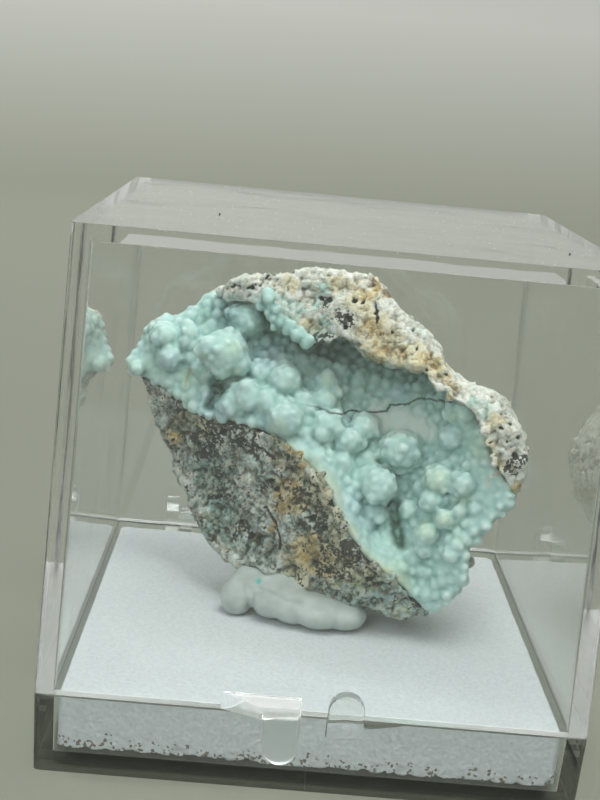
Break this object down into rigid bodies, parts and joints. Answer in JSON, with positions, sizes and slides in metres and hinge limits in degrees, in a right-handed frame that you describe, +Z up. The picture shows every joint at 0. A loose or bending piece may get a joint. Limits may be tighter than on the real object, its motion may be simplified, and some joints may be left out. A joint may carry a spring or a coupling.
{
  "type": "gibbsite specimen in a display box",
  "caption": "Hand-size mineral specimen: rough pale rock with a botryoidal pale aqua gibbsite crust in its hollow, set on putty and foam in a clear box with a hinged lid.",
  "frame": {"origin": "middle of the tray's underside", "axes": "+Z up out of the tray, -Y towards the viewer with the catch, +Y towards the hinge, +X to the viewer's right"},
  "size_m": [0.054, 0.0599, 0.0537],
  "materials": {
    "clear_plastic": "clear, polished",
    "foam": "fine open foam",
    "putty": "soft, dull",
    "rock": "rough, chalky white to ochre with black specks",
    "gibbsite": "waxy, rounded lumps"
  },
  "bodies": {
    "base": {"box_base": "clear_plastic", "foam_pad": "foam", "putty": "putty", "matrix_rock": "rock", "gibbsite_crust": "gibbsite"},
    "lid": {"box_lid": "clear_plastic"}
  },
  "joints": [
    {"name": "lid_hinge", "type": "hinge", "parent": "base", "child": "lid", "pos_m": [0, 0.0293, 0.00815], "axis": [-1, 0, 0], "range_deg": [0, 100]}
  ]
}
